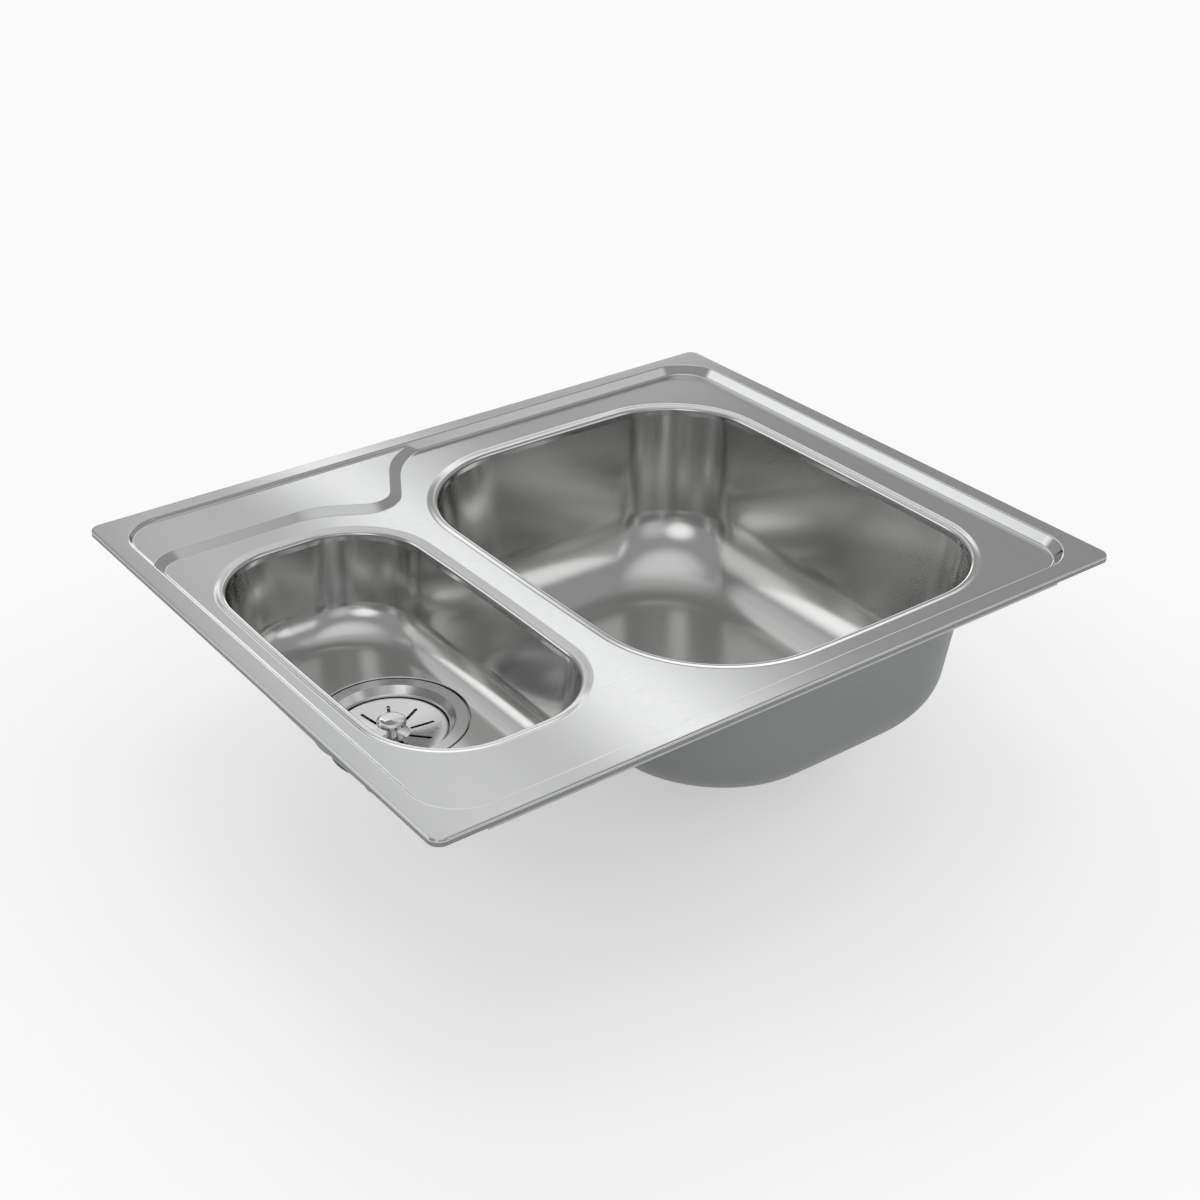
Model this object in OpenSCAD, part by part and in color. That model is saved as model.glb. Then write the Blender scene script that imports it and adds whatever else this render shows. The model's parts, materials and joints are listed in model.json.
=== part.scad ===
// One and a half bowl kitchen sink in pressed stainless steel, inset type, with two basket wastes.
// The origin is the centre of the rim on the worktop: +X to the right, +Y to the tap side, +Z up.

/* [Rim] */
// Overall width along X
sink_w = 600; // [590:5:680]
// Overall depth along Y
sink_d = 500; // [490:5:540]
// Height of the rim above the worktop
rim_h = 5; // [4:0.5:8]
// Thickness of the pressed steel sheet
sheet_t = 0.8; // [0.6:0.1:1.2]
// Edge rounding between the turned down lip and the flat ledge
lip_r = 1.8; // [1.4:0.1:3]
// Plan radius of the outer corners
rim_corner_r = 9; // [5:1:20]
// Inset at which the ledge starts to fall
ledge_w = 13.4; // [12:0.2:16]
// Plan radius of the inner edge of the ledge at its corners
ledge_corner_r = 38; // [32:1:50]
// Drop from the rim to the recessed deck
recess_depth = 7.5; // [6:0.5:10]
// Rounding at the top of the slope
slope_top_r = 3; // [2:0.5:4]
// Rounding at the foot of the slope
slope_foot_r = 8; // [5:0.5:9]

/* [Tap ledge] */
// Drop from the rim to the tap ledge
tap_drop = 2.8; // [2:0.2:4]
// Clear deck between the half bowl's edge and the foot of the tap ledge
tap_setback = 27.5; // [22:0.5:32]
// How far the nose of the tap ledge dips in front of the half bowl's back edge
tap_nose_dip = 6; // [0:1:14]
// Distance from the divider's middle to where the ledge's edge starts to dip
tap_dip_start = 58; // [52:1:70]
// Distance from the divider's middle to where the ledge's edge turns back to the rim
tap_turn = 49; // [44:0.5:56]
// Distance of the nose to the left of the divider's middle
tap_nose_side = 0.4; // [0:0.2:8]
// Length of the ledge's edge beyond its last bend
tap_tail = 54; // [50:1:70]
// Angle of that last stretch to the rim, in degrees
tap_tail_a = 11; // [9:0.5:14]
// Plan radius of the ledge's corner at the left slope
tap_left_r = 20; // [14:1:24]
// Plan radius of the bend where the edge starts to dip
tap_dip_r = 60; // [40:5:75]
// Plan radius of the ledge's nose
tap_nose_r = 30; // [20:1:34]
// Plan radius of the ledge's last bend
tap_bend_r = 70; // [50:5:80]
// Rounding at the top of the ledge's edge
step_top_r = 2.5; // [1.5:0.5:3]
// Rounding at the foot of the ledge's edge
step_foot_r = 4; // [3:0.5:4.5]

/* [Main bowl] */
// Opening width along X
main_w = 310; // [290:5:316]
// Opening length along Y
main_l = 396; // [370:2:400]
// Distance from the right hand edge of the rim
main_right = 55; // [48:1:60]
// Distance from the front edge of the rim
main_front = 44; // [40:1:50]
// Depth from the top of the rim to the floor
main_depth = 155; // [140:5:200]
// Radius between the walls and the floor
main_foot_r = 60; // [40:5:65]
// Plan radius of the two right hand corners
main_right_r = 75; // [70:1:85]
// Plan radius of the two left hand corners
main_left_r = 94; // [80:1:105]
// Drain centre, to the left of the bowl's middle
main_drain_left = 24; // [0:2:30]
// Drain centre, in front of the bowl's middle
main_drain_front = 28; // [0:2:40]

/* [Half bowl] */
// Opening width along X
half_w = 159; // [152:1:164]
// Opening length along Y
half_l = 314; // [290:2:316]
// Distance from the left hand edge of the rim
half_left = 38; // [36:1:44]
// Distance from the front edge of the rim
half_front = 81; // [74:1:90]
// Depth from the top of the rim to the floor
half_depth = 88; // [80:2:120]
// Radius between the walls and the floor
half_foot_r = 26; // [20:1:28]
// Plan radius of the corners
half_corner_r = 58; // [50:1:65]
// Drain centre, to the left of the bowl's middle
half_drain_left = 3.5; // [0:0.5:5]
// Drain centre, behind the bowl's middle
half_drain_back = 9; // [0:1:20]

/* [Both bowls] */
// Lean of the bowl walls from the vertical, in degrees
wall_lean = 6.5; // [3:0.5:8]
// How far the middle of a long side bows outwards
side_bow = 3; // [0:0.5:5]
// Radius of the rolled edge of each opening
roll_r = 5; // [4:0.5:6]
// Width of the dished margin outside the rolled edge
margin_w = 4.5; // [3:0.5:6]
// Fall across that margin
margin_fall = 0.7; // [0.3:0.1:1.2]
// Straight collar below the roll, to which the bowl is welded
collar_h = 2; // [1:0.5:4]

/* [Wastes] */
// Inner diameter of the flange's cup
cup_d = 85; // [82:0.5:88]
// Depth of the cup's bottom below the top of the flange
cup_depth = 16.7; // [15:0.1:20]
// Width of the bright slope between the cup and the flange's flat ring
slope_w = 5.1; // [4:0.1:6]
// Fall of that slope
slope_fall = 5.6; // [4:0.2:6]
// Width of the flange's flat ring
ring_w = 9.4; // [8:0.2:12]
// Thickness of the flange's sheet
flange_t = 1; // [0.8:0.1:1.2]
// Clearance round the flange in the recess of the bowl's floor
recess_gap = 1.2; // [0.8:0.1:2]
// Depth of that recess
seat_drop = 2.5; // [2:0.1:3.5]
// Clearance between the flange's cup and the hole in the bowl
hole_gap = 1.5; // [1:0.1:1.8]
// Thickness of the seal between the flange and the bowl
top_seal_t = 1.2; // [1:0.1:1.5]
// Thickness of the seal below the bowl
low_seal_t = 1.5; // [1.2:0.1:2]
// Distance of the flange's drain openings from the axis
drain_ring_r = 16; // [14:0.5:20]
// Radius of a drain opening
drain_hole_r = 5.5; // [4:0.5:6.5]
// Width of the clamping collar of the waste body
body_collar_w = 3.8; // [3:0.2:8]
// Height of that collar
body_collar_h = 3.5; // [3:0.5:5]
// Clearance between the flange's cup and the waste body
body_gap = 1; // [0.6:0.1:1.2]
// Wall of the waste body
body_wall = 2; // [1.6:0.1:2.4]
// Clear height between the flange's cup and the floor of the body
body_clear = 4; // [3:0.5:6]
// Height of the cone between the cup and the outlet
body_cone_h = 9; // [7:1:14]
// Outer diameter of the outlet thread
outlet_d = 47.8; // [40:0.2:50]
// Length of the outlet
outlet_l = 22; // [16:1:40]
// Diameter of the clamping screw's thread
screw_d = 6; // [5:0.5:8]
// Height of the clamping screw's head
screw_head_h = 2.6; // [2:0.1:2.8]

/* [Strainer basket] */
// Clearance between the slotted plate and the flange's cup
plate_gap = 1; // [0.6:0.1:2]
// Thickness of the plate
plate_t = 1; // [0.8:0.1:1.4]
// Depth of the plate's edge below the hole in the bowl
plate_sink = 1; // [0.5:0.1:1.4]
// Fall of the plate from its edge to its middle
plate_dish = 3.2; // [2:0.2:3.2]
// Number of slots
slot_count = 9; // [6:1:12]
// Width of a slot
slot_w = 2.6; // [2:0.1:3]
// Distance of a slot's inner end from the axis
slot_from = 14; // [13:0.5:18]
// Width of the plain border outside the slots
slot_border = 10.5; // [9:0.5:14]
// Diameter of the knob
knob_d = 22; // [18:0.5:24]
// Thickness of the knob's cap
knob_h = 4.5; // [3.5:0.5:6]
// Height of the knob's top above the bowl's floor
knob_top = 0.5; // [0:0.5:3]
// Diameter of the knob's stem
stem_d = 8; // [6:0.5:9]
// Reach of the rubber stopper beyond the drain openings
stopper_lap = 6.5; // [4:0.5:10]
// Thickness of the rubber stopper
stopper_t = 3; // [2.5:0.1:3.2]

/* [Under the rim] */
// Width of the foam strip
strip_w = 7; // [5:0.5:8]
// Length of the front and back fixing rails
rail_l = 510; // [440:10:540]
// Distance of a rail's outer face from the edge of the rim
rail_inset = 11.5; // [10.5:0.5:12]
// Reach of a rail below the worktop's surface
rail_drop = 11.7; // [8:0.1:14]
// Number of punched windows in a rail
window_count = 10; // [6:1:12]
// Width of a window
window_w = 16; // [10:1:24]
// Height of a window
window_h = 3.5; // [2.5:0.5:5]
// Height of a window's lower edge above the rail's
window_low = 4; // [3:0.5:6]
// Thickness of a rail's sheet
rail_t = 1; // [0.8:0.1:1.5]
// Thickness of the sound pad under the main bowl
pad_t = 2; // [1.5:0.5:4]
// Bare border of the main bowl's floor outside the sound pad
pad_border = 6; // [4:1:20]
// Clearance between the sound pad and the waste's recess
pad_gap = 4; // [3:1:10]

/* [Hidden] */
$fn = 72;

// Clearances
gap = 0.3;
bite = 0.01;
lap = 1;
least_r = 3;

// Heights in the sink's frame
deck_z = rim_h - recess_depth;
tap_z = rim_h - tap_drop;
roll_z = deck_z - margin_fall - roll_r;
weld_z = roll_z - collar_h;
main_floor_z = rim_h - main_depth;
half_floor_z = rim_h - half_depth;

// Plan boxes as [left, right, front, back]
rim_box = [-sink_w / 2, sink_w / 2, -sink_d / 2, sink_d / 2];
main_box = [
    rim_box[1] - main_right - main_w, rim_box[1] - main_right,
    rim_box[2] + main_front, rim_box[2] + main_front + main_l
];
half_box = [
    rim_box[0] + half_left, rim_box[0] + half_left + half_w,
    rim_box[2] + half_front, rim_box[2] + half_front + half_l
];
// Corner radii in the order front right, back right, back left, front left
main_radii = [main_right_r, main_right_r, main_left_r, main_left_r];
half_radii = [half_corner_r, half_corner_r, half_corner_r, half_corner_r];
main_at = [
    (main_box[0] + main_box[1]) / 2 - main_drain_left,
    (main_box[2] + main_box[3]) / 2 - main_drain_front, main_floor_z
];
half_at = [
    (half_box[0] + half_box[1]) / 2 - half_drain_left,
    (half_box[2] + half_box[3]) / 2 + half_drain_back, half_floor_z
];
divider_x = (half_box[1] + main_box[0]) / 2;

// Facets of the plan curves and of the sheet's bends
corner_steps = 10;
side_steps = 4;
bend_steps = 3;
roll_steps = 4;
foot_steps = 7;
path_turn = 9;

// Slope of the recess and of the tap ledge's edge
slope_a = 45;
slope_run = slope_top_r * sin(slope_a) + slope_foot_r * sin(slope_a)
    + (recess_depth - (slope_top_r + slope_foot_r) * (1 - cos(slope_a))) / tan(slope_a);
flat_inset = ledge_w + slope_run;
step_h = tap_z - deck_z;
step_run = (step_top_r + step_foot_r) * sin(slope_a)
    + (step_h - (step_top_r + step_foot_r) * (1 - cos(slope_a))) / tan(slope_a);
// Inset at which the middle of the recess slope's sheet lies at the tap ledge's height
tap_inset = ledge_w + slope_top_r * tan(slope_a / 2) + tap_drop - sheet_t * 0.2;

// Arc of a quarter turn about c from the angle a, as n + 1 points
function quarter(c, r, a, n) = [for (k = [0:n]) c + r * [cos(a + 90 * k / n), sin(a + 90 * k / n)]];

// Points strictly between p and q
function between(p, q, n) = n < 2 ? [] : [for (k = [1:n - 1]) p + (q - p) * k / n];

// Rounded rectangle in the box b with corner radii r, from the front right corner anticlockwise
function rounded(b, r, n, m) =
    let (
        fr = quarter([b[1] - r[0], b[2] + r[0]], r[0], -90, n),
        br = quarter([b[1] - r[1], b[3] - r[1]], r[1], 0, n),
        bl = quarter([b[0] + r[2], b[3] - r[2]], r[2], 90, n),
        fl = quarter([b[0] + r[3], b[2] + r[3]], r[3], 180, n)
    )
    concat(
        fr, between(fr[n], br[0], m), br, between(br[n], bl[0], m),
        bl, between(bl[n], fl[0], m), fl, between(fl[n], fr[0], m)
    );

// Box b and radii r drawn in by i
function inner_box(b, i) = [b[0] + i, b[1] - i, b[2] + i, b[3] - i];
function inner_radii(r, i) = [for (v = r) max(v - i, least_r)];

// Bows the sides of an outline outwards by w at their middles
function bowed(pts, b, w) =
    let (
        c = [(b[0] + b[1]) / 2, (b[2] + b[3]) / 2],
        h = [(b[1] - b[0]) / 2, (b[3] - b[2]) / 2]
    )
    [for (p = pts) let (u = (p.x - c.x) / h.x, v = (p.y - c.y) / h.y)
        [p.x + w * u * (1 - v * v), p.y + w * v * (1 - u * u)]];

// Outline of a bowl at the inset i from its opening's edge
function bowl_line(b, r, i) =
    let (k = inner_box(b, i), s = inner_box(k, side_bow))
    bowed(rounded(s, inner_radii(r, i), corner_steps, side_steps), s, side_bow);

// Outline of the rim at the inset i with the corner radius r
function rim_line(i, r) =
    rounded(inner_box(rim_box, i), [r, r, r, r], corner_steps, 1);

// Corner radius of the recess at the inset i
function recess_r(i) = ledge_corner_r - (i - ledge_w);

function at_height(pts, z) = [for (p = pts) [p.x, p.y, z]];

// Bend of a sheet about c with the radius r from angle a to b, as [inset, z] points
function bend(c, r, a, b, n) = [for (k = [0:n]) let (t = a + (b - a) * k / n) c + r * [sin(t), cos(t)]];

// Closed solid through a grid of points: every row is a closed ring, and rows join one another
module skin(rows, closed) {
    n = len(rows[0]);
    m = len(rows);
    sides = [for (j = [0:m - (closed ? 1 : 2)], i = [0:n - 1])
        let (k = (i + 1) % n, l = (j + 1) % m)
        each [[j * n + i, l * n + k, j * n + k], [j * n + i, l * n + i, l * n + k]]];
    ends = closed ? [] : [[for (i = [0:n - 1]) i], [for (i = [n - 1:-1:0]) (m - 1) * n + i]];
    polyhedron([for (row = rows) each row], concat(sides, ends), convexity = 8);
}

// Ring sheet of the rim: lip, ledge and slope down to the recessed deck, as [inset, z, radius] rows
function lip_top(t) = [for (p = bend([lip_r, rim_h - lip_r], lip_r - t, -90, 0, bend_steps)) p];
function slope_side(t) = concat(
    bend([ledge_w, rim_h - slope_top_r], slope_top_r - t, 0, slope_a, bend_steps),
    bend([flat_inset, deck_z + slope_foot_r], slope_foot_r + t, 180 + slope_a, 180, bend_steps)
);
function rim_rows(t) = concat(
    [[t, 0, rim_corner_r - t]],
    [for (p = lip_top(t)) [p[0], p[1], rim_corner_r - p[0]]],
    [for (p = slope_side(t)) [p[0], p[1], recess_r(p[0])]]
);
function reversed(v) = [for (i = [len(v) - 1:-1:0]) v[i]];

module rim_ring() {
    rows = concat(rim_rows(0), reversed(rim_rows(sheet_t)));
    skin([for (p = rows) at_height(rim_line(p[0], p[2]), p[1])], true);
}

// Turn of a path at the corner b between a and c with the radius r, as points
function fillet(a, b, c, r) =
    let (
        u = (a - b) / norm(a - b),
        v = (c - b) / norm(c - b),
        half = acos(u * v) / 2,
        o = b + (u + v) / norm(u + v) * r / sin(half),
        p = b + u * r / tan(half),
        q = b + v * r / tan(half),
        a0 = atan2(p.y - o.y, p.x - o.x),
        turn = (atan2(q.y - o.y, q.x - o.x) - a0 + 540) % 360 - 180,
        n = max(2, ceil(abs(turn) / path_turn))
    )
    [for (k = [0:n]) o + r * [cos(a0 + turn * k / n), sin(a0 + turn * k / n)]];

// Foot of the tap ledge's front edge, from the left slope round the nose to the back slope
foot_y = half_box[3] + tap_setback;
foot_x = rim_box[0] + flat_inset - slope_run / 3;
corner_pt = [foot_x, foot_y];
start_pt = corner_pt - [0, tap_left_r + 6 * lap];
dip_pt = [divider_x - tap_dip_start, foot_y];
nose_pt = [divider_x - tap_nose_side, half_box[3] - tap_nose_dip];
turn_pt = [divider_x + tap_turn, rim_box[3] - flat_inset];
tail_pt = turn_pt + tap_tail * [cos(tap_tail_a), sin(tap_tail_a)];
tap_foot = concat(
    [start_pt],
    fillet(start_pt, corner_pt, dip_pt, tap_left_r),
    fillet(corner_pt, dip_pt, nose_pt, tap_dip_r),
    fillet(dip_pt, nose_pt, turn_pt, tap_nose_r),
    fillet(nose_pt, turn_pt, tail_pt, tap_bend_r),
    [tail_pt]
);

// Direction to the left of a path at its point i
function left_of(path, i) =
    let (
        p = path[max(i - 1, 0)],
        q = path[min(i + 1, len(path) - 1)],
        d = (q - p) / norm(q - p)
    )
    [-d.y, d.x];

// Section of the pressed step, as [distance from the foot, z] points; its ends lap the flat sheets
function step_side(t) = concat(
    [[-lap, deck_z - t]],
    bend([0, deck_z + step_foot_r], step_foot_r + t, 180, 180 - slope_a, bend_steps),
    bend([step_run, tap_z - step_top_r], step_top_r - t, -slope_a, 0, bend_steps),
    [[step_run + lap, tap_z - t]]
);

module tap_step() {
    section = concat(step_side(sheet_t), reversed(step_side(0)));
    skin([for (i = [0:len(tap_foot) - 1]) let (w = left_of(tap_foot, i))
        [for (s = section) [tap_foot[i].x + w.x * s[0], tap_foot[i].y + w.y * s[0], s[1]]]], false);
}

// Area left of a line offset from the step's foot, closed along the slopes at the inset i
module tap_area(off, i) {
    c = recess_r(i);
    edge = [for (k = [0:len(tap_foot) - 1]) tap_foot[k] + off * left_of(tap_foot, k)];
    intersection() {
        polygon(rim_line(i, c));
        polygon(concat(
            edge,
            [[rim_box[1] / 2, rim_box[3]], [rim_box[0], rim_box[3]], [rim_box[0], start_pt.y]]
        ));
    }
}

// Rolled edge of an opening, from the flat deck down to the weld, as [inset, z] rows
function collar_side(t) = concat(
    [[-roll_r - margin_w, deck_z - t]],
    [for (p = bend([-roll_r, roll_z], roll_r - t, 0, 90, roll_steps)) p],
    [[-t, weld_z]]
);
module collar(b, r) {
    rows = concat(collar_side(0), reversed(collar_side(sheet_t)));
    skin([for (p = rows) at_height(bowl_line(b, r, p[0]), p[1])], true);
}

module deck() {
    color("#b9bcbe") {
        difference() {
            rim_ring();
            translate([0, 0, deck_z - 2 * sheet_t])
                linear_extrude(tap_z - sheet_t - deck_z + 2 * sheet_t - bite)
                    tap_area(step_run, tap_inset + 3 * lap);
        }
        translate([0, 0, deck_z - sheet_t])
            linear_extrude(sheet_t)
                difference() {
                    polygon(rim_line(flat_inset, recess_r(flat_inset)));
                    tap_area(-lap / 2, 0);
                    polygon(bowl_line(main_box, main_radii, -roll_r - margin_w));
                    polygon(bowl_line(half_box, half_radii, -roll_r - margin_w));
                }
        tap_step();
        translate([0, 0, tap_z - sheet_t])
            linear_extrude(sheet_t)
                tap_area(step_run + lap / 2, tap_inset);
        collar(main_box, main_radii);
        collar(half_box, half_radii);
    }
}

// Side of a bowl from the weld down to the floor, offset outwards by t, as [inset, z] rows
function bowl_side(floor_z, foot_r, t) =
    let (
        foot_z = floor_z + foot_r * (1 - sin(wall_lean)),
        centre = [(weld_z - foot_z) * tan(wall_lean) + foot_r * cos(wall_lean), floor_z + foot_r]
    )
    concat(
        [[-t, weld_z]],
        bend(centre, foot_r + t, 270 - wall_lean, 180, foot_steps)
    );
function floor_inset(floor_z, foot_r) =
    (weld_z - floor_z - foot_r * (1 - sin(wall_lean))) * tan(wall_lean) + foot_r * cos(wall_lean);

// Walls, foot and floor of a bowl as a shell of the thickness t around its inside
module bowl_shell(b, r, at, foot_r, t) {
    rows = concat(reversed(bowl_side(at.z, foot_r, t)), bowl_side(at.z, foot_r, 0));
    skin([for (p = rows) at_height(bowl_line(b, r, p[0]), p[1])], false);
}

// Bowl with a round seat for the waste's flange: its wall climbs the bowl's foot where they meet
module bowl(b, r, at, foot_r) {
    seat_bottom = -seat_drop - sheet_t;
    seat_top = foot_r / 2;
    slant_t = sheet_t * 0.75;
    difference() {
        bowl_shell(b, r, at, foot_r, sheet_t);
        translate(at + [0, 0, -2 * sheet_t])
            cylinder(r = wall_r + sheet_t / 2, h = seat_top + 2 * sheet_t);
    }
    intersection() {
        bowl_shell(b, r, at, foot_r, 3 * seat_drop);
        translate(at + [0, 0, seat_bottom])
            difference() {
                cylinder(r = wall_r + sheet_t, h = seat_top);
                translate([0, 0, sheet_t]) cylinder(r = wall_r, h = seat_top);
                translate([0, 0, -lap]) cylinder(r = seat_r + lap, h = seat_top);
            }
    }
    translate(at)
        rotate_extrude()
            polygon([
                [hole_r + slant_t, dish_z], [seat_r + slant_t, seat_bottom],
                [seat_r + 2 * lap, seat_bottom], [seat_r + 2 * lap, -seat_drop],
                [seat_r, -seat_drop], [hole_r, dish_z + slant_t]
            ]);
}

module main_bowl() {
    color("#a9acae") bowl(main_box, main_radii, main_at, main_foot_r);
}
module half_bowl() {
    color("#a9acae") bowl(half_box, half_radii, half_at, half_foot_r);
}

// Closed foam strip in the hollow of the rim
module rim_seal() {
    i = lip_r + gap;
    color("#2f3234")
        translate([0, 0, gap])
            linear_extrude(rim_h - sheet_t - gap)
                difference() {
                    polygon(rim_line(i, rim_corner_r));
                    polygon(rim_line(i + strip_w, rim_corner_r));
                }
}

// Fixing rail along the front edge: an angle welded under the ledge, with windows for clips
module rail() {
    y = rim_box[2] + rail_inset;
    top_z = rim_h - sheet_t;
    pitch = rail_l / window_count;
    difference() {
        union() {
            translate([-rail_l / 2, y, -rail_drop]) cube([rail_l, rail_t, rail_drop + top_z]);
            translate([-rail_l / 2, y, top_z - rail_t]) cube([rail_l, ledge_w - rail_inset, rail_t]);
        }
        for (k = [0:window_count - 1])
            translate([-rail_l / 2 + (k + 0.5) * pitch - window_w / 2, y - lap, -rail_drop + window_low])
                cube([window_w, rail_t + 2 * lap, window_h]);
    }
}
module front_rail() {
    color("#8d9194") rail();
}
module back_rail() {
    color("#8d9194") mirror([0, 1, 0]) rail();
}

// Bitumen pad glued under the main bowl's floor
module main_sound_pad() {
    i = floor_inset(main_floor_z, main_foot_r) + pad_border;
    color("#4b4d4f")
        translate([0, 0, main_floor_z - sheet_t - pad_t])
            linear_extrude(pad_t)
                difference() {
                    polygon(bowl_line(main_box, main_radii, i));
                    translate([main_at.x, main_at.y]) circle(r = wall_r + pad_gap);
                }
}

// Radii of the waste's pieces about its axis
cup_r = cup_d / 2;
flat_r = cup_r + slope_w;
flange_r = flat_r + ring_w;
wall_r = flange_r + recess_gap;
hole_r = cup_r + flange_t + hole_gap;
seat_r = flat_r + flange_t / 2 + gap;
body_r = cup_r + flange_t + body_gap + body_wall;
collar_r = seat_r + sheet_t + body_collar_w;
seal_margin = 0.5;

// Heights of the waste's pieces above the bowl's floor
flange_top = -seat_drop + top_seal_t + flange_t;
slope_foot = flange_top - slope_fall;
dish_z = slope_foot - flange_t;
cup_floor = flange_top - cup_depth;
collar_top = -seat_drop - sheet_t - low_seal_t;
body_floor = cup_floor - flange_t - body_clear;
cone_z = body_floor - body_cone_h;
drain_count = 6;

// Pressed steel flange with its cup; the bottom has a ring of drain openings round the screw
module flange(at) {
    t = flange_t;
    foot = 4;
    edge = foot * 0.3;
    lip = 0.8;
    screw_r = screw_d / 2 + gap;
    color("#c3c6c8")
        translate(at)
            difference() {
                rotate_extrude()
                    polygon([
                        [flange_r, flange_top - t], [flange_r, flange_top - t / 2],
                        [flange_r - t / 2, flange_top], [flat_r, flange_top],
                        [cup_r + edge, slope_foot], [cup_r, slope_foot - lip], [cup_r, cup_floor + foot],
                        [cup_r - edge, cup_floor + edge], [cup_r - foot, cup_floor],
                        [screw_r, cup_floor], [screw_r, cup_floor - t],
                        [cup_r - foot + 0.4 * t, cup_floor - t],
                        [cup_r - edge + 0.8 * t, cup_floor + edge - 0.8 * t],
                        [cup_r + t, cup_floor + foot - 0.2 * t], [cup_r + t, slope_foot - lip - t / 2],
                        [cup_r + 2 * t, slope_foot - t / 2], [flat_r + t / 2, flange_top - t]
                    ]);
                for (k = [0:drain_count - 1])
                    rotate([0, 0, 360 * k / drain_count])
                        translate([drain_ring_r, 0, cup_floor - t - lap])
                            cylinder(r = drain_hole_r, h = t + 2 * lap);
            }
}

module top_seal(at) {
    color("#26282a")
        translate(at + [0, 0, -seat_drop])
            difference() {
                cylinder(r = flange_r - seal_margin, h = top_seal_t);
                translate([0, 0, -lap]) cylinder(r = seat_r, h = top_seal_t + 2 * lap);
            }
}

module low_seal(at) {
    color("#26282a")
        translate(at + [0, 0, collar_top])
            difference() {
                cylinder(r = collar_r - seal_margin, h = low_seal_t);
                translate([0, 0, -lap]) cylinder(r = seat_r + sheet_t, h = low_seal_t + 2 * lap);
            }
}

// Moulded waste body: clamping collar, cup, cone and threaded outlet, with a web for the screw
module waste_body(at) {
    w = body_wall;
    edge = w / 2;
    out_r = outlet_d / 2;
    cup_top = dish_z - gap;
    boss_r = screw_d / 2 + 2 * w;
    boss_low = cone_z + edge;
    rib_r = (boss_r + screw_d / 2) / 2;
    rib_count = 3;
    web_top = body_floor + body_clear - gap;
    color("#3a3d40")
        translate(at) {
            rotate_extrude()
                polygon([
                    [seat_r + sheet_t, collar_top], [collar_r, collar_top],
                    [collar_r, collar_top - body_collar_h + edge],
                    [collar_r - edge, collar_top - body_collar_h],
                    [body_r + edge, collar_top - body_collar_h], [body_r, collar_top - body_collar_h - edge],
                    [body_r, body_floor], [out_r, cone_z], [out_r, cone_z - outlet_l],
                    [out_r - w, cone_z - outlet_l], [out_r - w, cone_z + edge],
                    [body_r - w, body_floor + edge], [body_r - w, cup_top], [seat_r + sheet_t, cup_top]
                ]);
            difference() {
                union() {
                    translate([0, 0, boss_low]) cylinder(r = boss_r, h = web_top - boss_low);
                    for (k = [0:rib_count - 1])
                        rotate([90, 0, 360 * (k + 0.25) / rib_count])
                            linear_extrude(w, center = true)
                                polygon([
                                    [rib_r, web_top - w / 4], [body_r - edge, web_top - w / 4],
                                    [body_r - edge, body_floor + w / 4],
                                    [(body_r + out_r - w) / 2, (body_floor + cone_z + edge) / 2],
                                    [rib_r, boss_low + w / 4]
                                ]);
                }
                translate([0, 0, boss_low - lap]) cylinder(d = screw_d, h = web_top - boss_low + 2 * lap);
            }
        }
}

// Slotted clamping screw through the flange into the body's web
module clamp_screw(at) {
    shank = flange_t + body_clear + screw_d;
    slot = screw_d / 5;
    color("#d2d4d5")
        translate(at + [0, 0, cup_floor])
            difference() {
                union() {
                    cylinder(r1 = screw_d, r2 = screw_d - screw_head_h / 2, h = screw_head_h);
                    translate([0, 0, -shank]) cylinder(d = screw_d - 2 * bite, h = shank + screw_head_h / 2);
                }
                translate([-screw_d - lap, -slot / 2, screw_head_h - slot])
                    cube([2 * (screw_d + lap), slot, slot + lap]);
            }
}

// Slotted basket plate, dished, with a rolled edge and a hub over the stopper
plate_r = cup_r - plate_gap;
plate_z = dish_z - plate_sink;
middle_z = plate_z - plate_dish;
slot_to = plate_r - slot_border;
slot_turn = 24;
boss_h = 1;
hub_z = cup_floor + gap + stopper_t + boss_h;
hub_w = 2;
module basket(at) {
    t = plate_t;
    bend_in = 4;
    bend_share = 0.45;
    bend_r = slot_to - bend_in;
    bend_z = middle_z + plate_dish * bend_share;
    edge = 0.6;
    color("#c9cccd")
        translate(at)
            difference() {
                rotate_extrude()
                    polygon([
                        [stem_d / 2, hub_z], [stem_d / 2 + hub_w, hub_z],
                        [stem_d / 2 + hub_w, middle_z - t], [slot_from - lap, middle_z - t],
                        [bend_r, bend_z - t], [plate_r - lap, plate_z - t - edge], [plate_r, plate_z - t],
                        [plate_r, plate_z - edge / 2], [plate_r - edge, plate_z],
                        [plate_r - edge - lap, plate_z - edge / 6], [bend_r, bend_z],
                        [slot_from - lap, middle_z], [stem_d / 2, middle_z]
                    ]);
                for (k = [0:slot_count - 1])
                    rotate([0, 0, 360 * k / slot_count + slot_turn])
                        translate([0, 0, middle_z - 2 * t])
                            linear_extrude(plate_dish + 4 * t) {
                                translate([slot_from, -slot_w / 2]) square([slot_to - slot_from, slot_w]);
                                translate([slot_to, 0]) circle(d = slot_w);
                            }
            }
}

// Turned knob on its stem, which passes through the plate and the stopper
module knob(at) {
    r = knob_d / 2;
    s = stem_d / 2 - bite;
    base = knob_top - knob_h;
    low = cup_floor + gap + stopper_t;
    edge = 1.2;
    dish = knob_d * 0.23;
    color("#d6d8d9")
        translate(at)
            rotate_extrude()
                polygon([
                    [0, low], [s, low], [s, base - edge], [s + edge, base], [r - edge, base],
                    [r, base + edge], [r, knob_top - edge], [r - edge, knob_top - edge / 4],
                    [r - 2 * edge, knob_top], [r - dish, knob_top - edge / 3], [0, knob_top - edge * 0.75]
                ]);
}

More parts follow.
